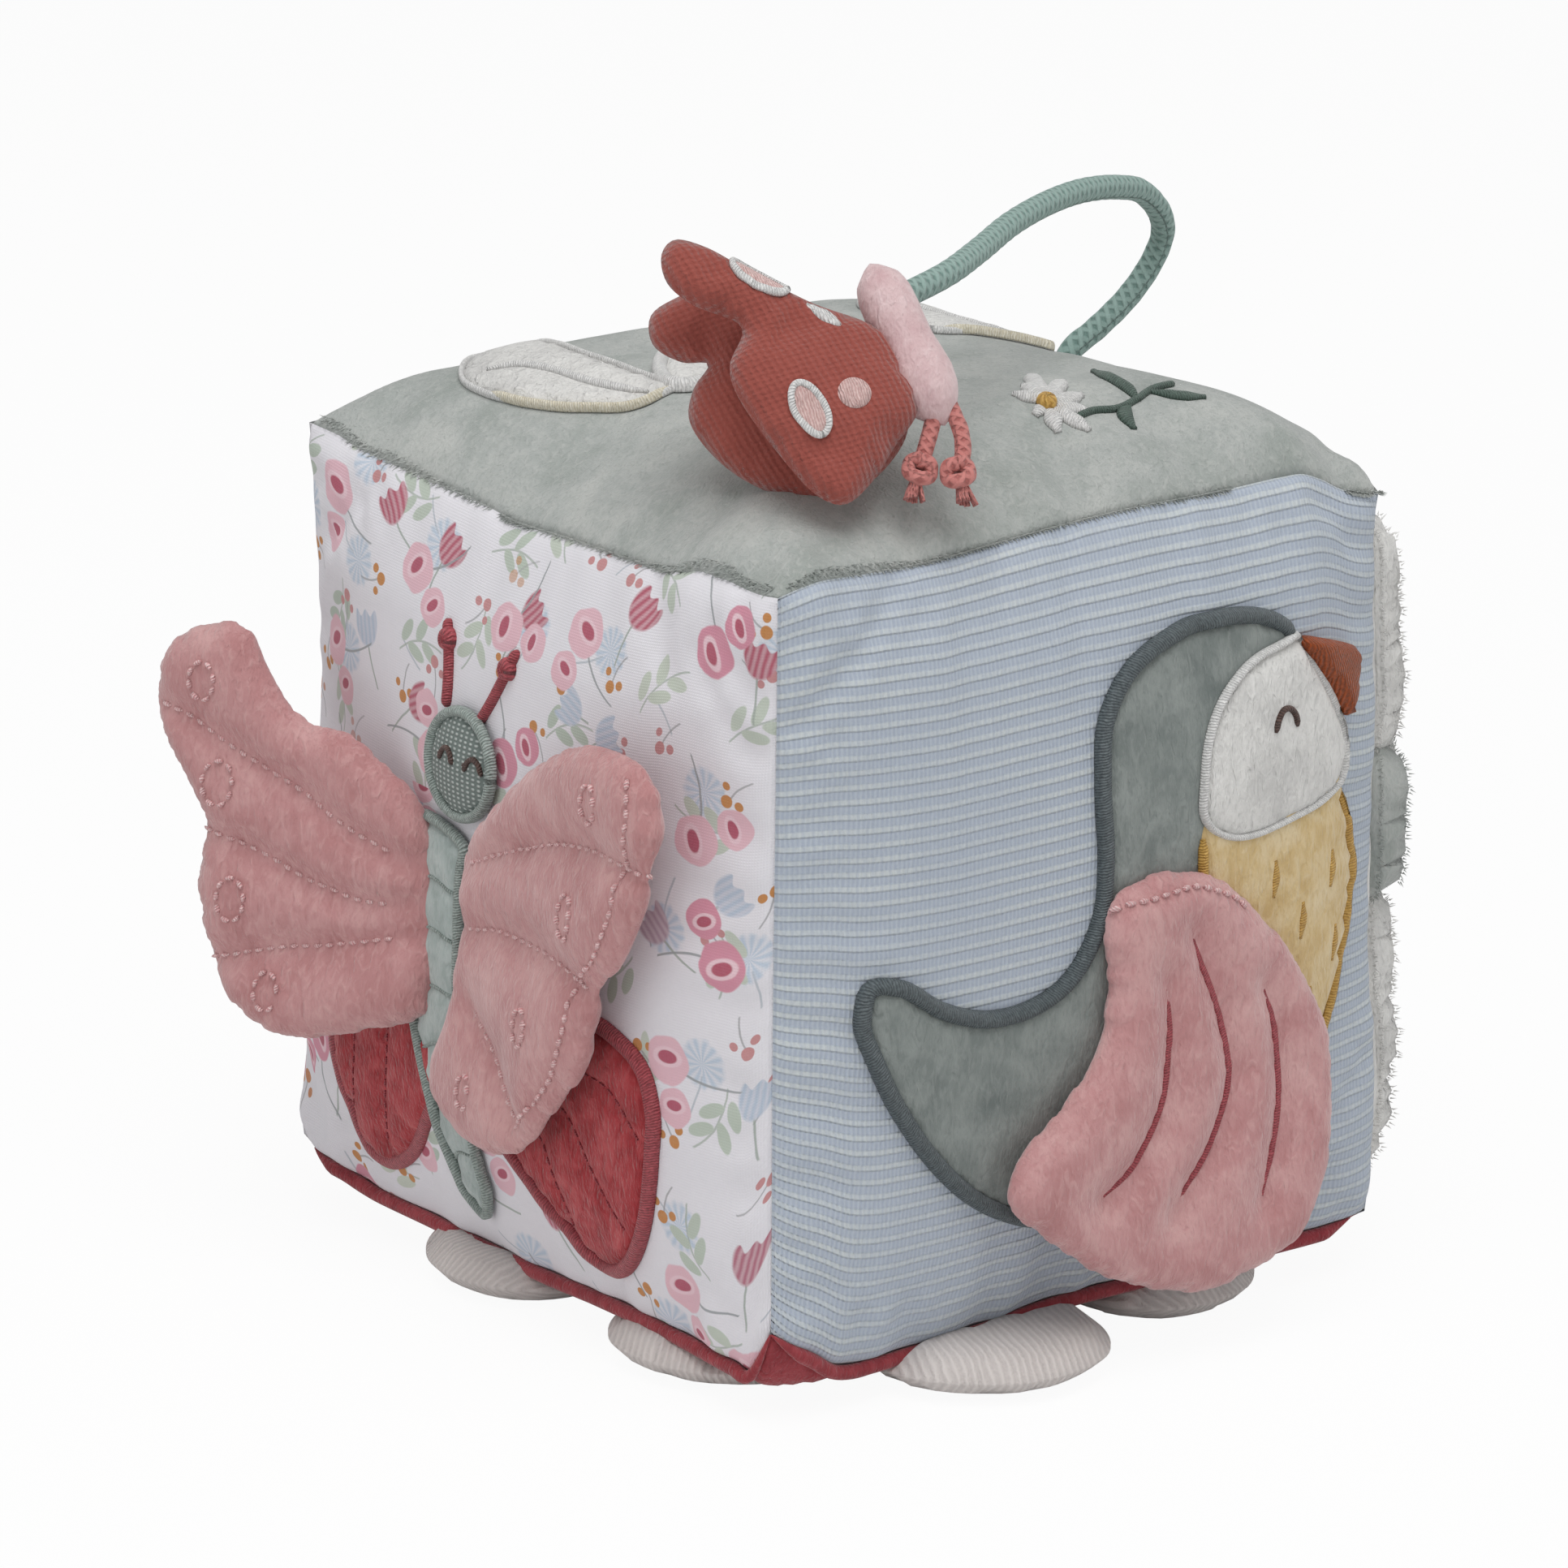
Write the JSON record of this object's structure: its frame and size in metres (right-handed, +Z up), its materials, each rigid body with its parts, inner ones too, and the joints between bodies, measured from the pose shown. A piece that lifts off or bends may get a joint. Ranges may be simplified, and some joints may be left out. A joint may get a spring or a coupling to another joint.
{
  "type": "soft fabric activity block",
  "caption": "Stuffed fabric activity cube for a baby, with loose padded wings on its sides, a toy on a cord and a stuffed flower base",
  "frame": {"origin": "on the floor under the middle of the cube, on the flat underside of the flower centre", "axes": "+Z up, the bird side faces -Y, the butterfly side -X, the white plush side +X"},
  "size_m": [0.2158, 0.1803, 0.223],
  "materials": {
    "sage_plush": "short plush",
    "dusty_red_plush": "short plush",
    "white_plush": "long plush",
    "floral_cotton": null,
    "striped_cotton": "woven fine stripes",
    "pink_plush": "short plush with topstitching",
    "red_velvet": "velvet",
    "red_satin": "satin stitch",
    "mint_plush": "short plush",
    "sage_satin": "satin stitch",
    "grey_plush": "short plush",
    "grey_satin": "satin stitch",
    "white_satin": "satin stitch",
    "yellow_plush": "short plush",
    "rust_satin": "satin stitch",
    "ribbed_cotton": "ribbed velour",
    "rust_knit": "brushed rib knit",
    "sage_cord": "braided cord",
    "pink_cord": "braided cord",
    "fibre": "polyester fibre"
  },
  "bodies": {
    "block": {"top_panel": "sage_plush", "butterfly_panel": "floral_cotton", "bird_panel": "striped_cotton", "plush_panel": "white_plush", "back_panel": "dusty_red_plush", "bottom_panel": "dusty_red_plush", "filling": "fibre", "petal_1": "ribbed_cotton", "petal_2": "ribbed_cotton", "petal_3": "ribbed_cotton", "petal_4": "ribbed_cotton", "petal_5": "ribbed_cotton", "petal_6": "ribbed_cotton", "petal_7": "ribbed_cotton", "petal_8": "ribbed_cotton", "flower_centre": "ribbed_cotton", "butterfly_head": "sage_satin", "butterfly_abdomen": "mint_plush", "lower_wing_near": "red_velvet", "lower_wing_border_near": "red_satin", "lower_wing_far": "red_velvet", "lower_wing_border_far": "red_satin", "antenna_near": "red_satin", "antenna_far": "red_satin", "bird_body": "grey_plush", "bird_border": "grey_satin", "bird_face": "white_plush", "bird_face_border": "white_satin", "bird_belly": "yellow_plush", "bird_beak": "rust_satin", "motif_wing_left": "white_plush", "motif_wing_right": "white_plush", "motif_body": "white_plush", "daisy": "white_satin", "relief_body": "white_plush", "relief_head": "white_plush", "relief_ear": "white_plush", "relief_scarf": "sage_plush", "cord_stitched_end": "sage_cord"},
    "near_wing": {"near_wing_front_cloth": "pink_plush", "near_wing_back_cloth": "pink_plush", "near_wing_padding": "fibre"},
    "far_wing": {"far_wing_front_cloth": "pink_plush", "far_wing_back_cloth": "pink_plush", "far_wing_padding": "fibre"},
    "bird_wing": {"bird_wing_front_cloth": "pink_plush", "bird_wing_back_cloth": "pink_plush", "bird_wing_padding": "fibre"},
    "cord_loop": {"cord": "sage_cord"},
    "toy": {"toy_body": "pink_plush", "toy_back_wings": "rust_knit", "toy_antenna_near": "pink_cord", "toy_antenna_far": "pink_cord"},
    "toy_front_wing": {"toy_front_wings": "rust_knit"}
  },
  "joints": [
    {"name": "near_wing_hinge", "type": "hinge", "parent": "block", "child": "near_wing", "pos_m": [-0.0889, 0.0054, 0.0985], "axis": [0, 0, -1], "range_deg": [-1.5, 85]},
    {"name": "far_wing_hinge", "type": "hinge", "parent": "block", "child": "far_wing", "pos_m": [-0.0863, 0.0194, 0.103], "axis": [0, 0, 1], "range_deg": [-5, 60]},
    {"name": "bird_wing_hinge", "type": "hinge", "parent": "block", "child": "bird_wing", "pos_m": [0.0075, -0.08825, 0.1], "axis": [-1, 0, 0], "range_deg": [0, 130]},
    {"name": "cord_lift", "type": "hinge", "parent": "block", "child": "cord_loop", "pos_m": [0.0765, 0.026, 0.1635], "axis": [0, 1, 0], "range_deg": [0, 45]},
    {"name": "toy_swing", "type": "hinge", "parent": "cord_loop", "child": "toy", "pos_m": [-0.02916, -0.05872, 0.21199], "axis": [-0.6606, 0.7507, 0], "range_deg": [0, 25]},
    {"name": "toy_wing_open", "type": "hinge", "parent": "toy", "child": "toy_front_wing", "pos_m": [-0.03478, -0.06085, 0.20255], "axis": [-0.0844, 0.5894, 0.8035], "range_deg": [0, 50]}
  ]
}
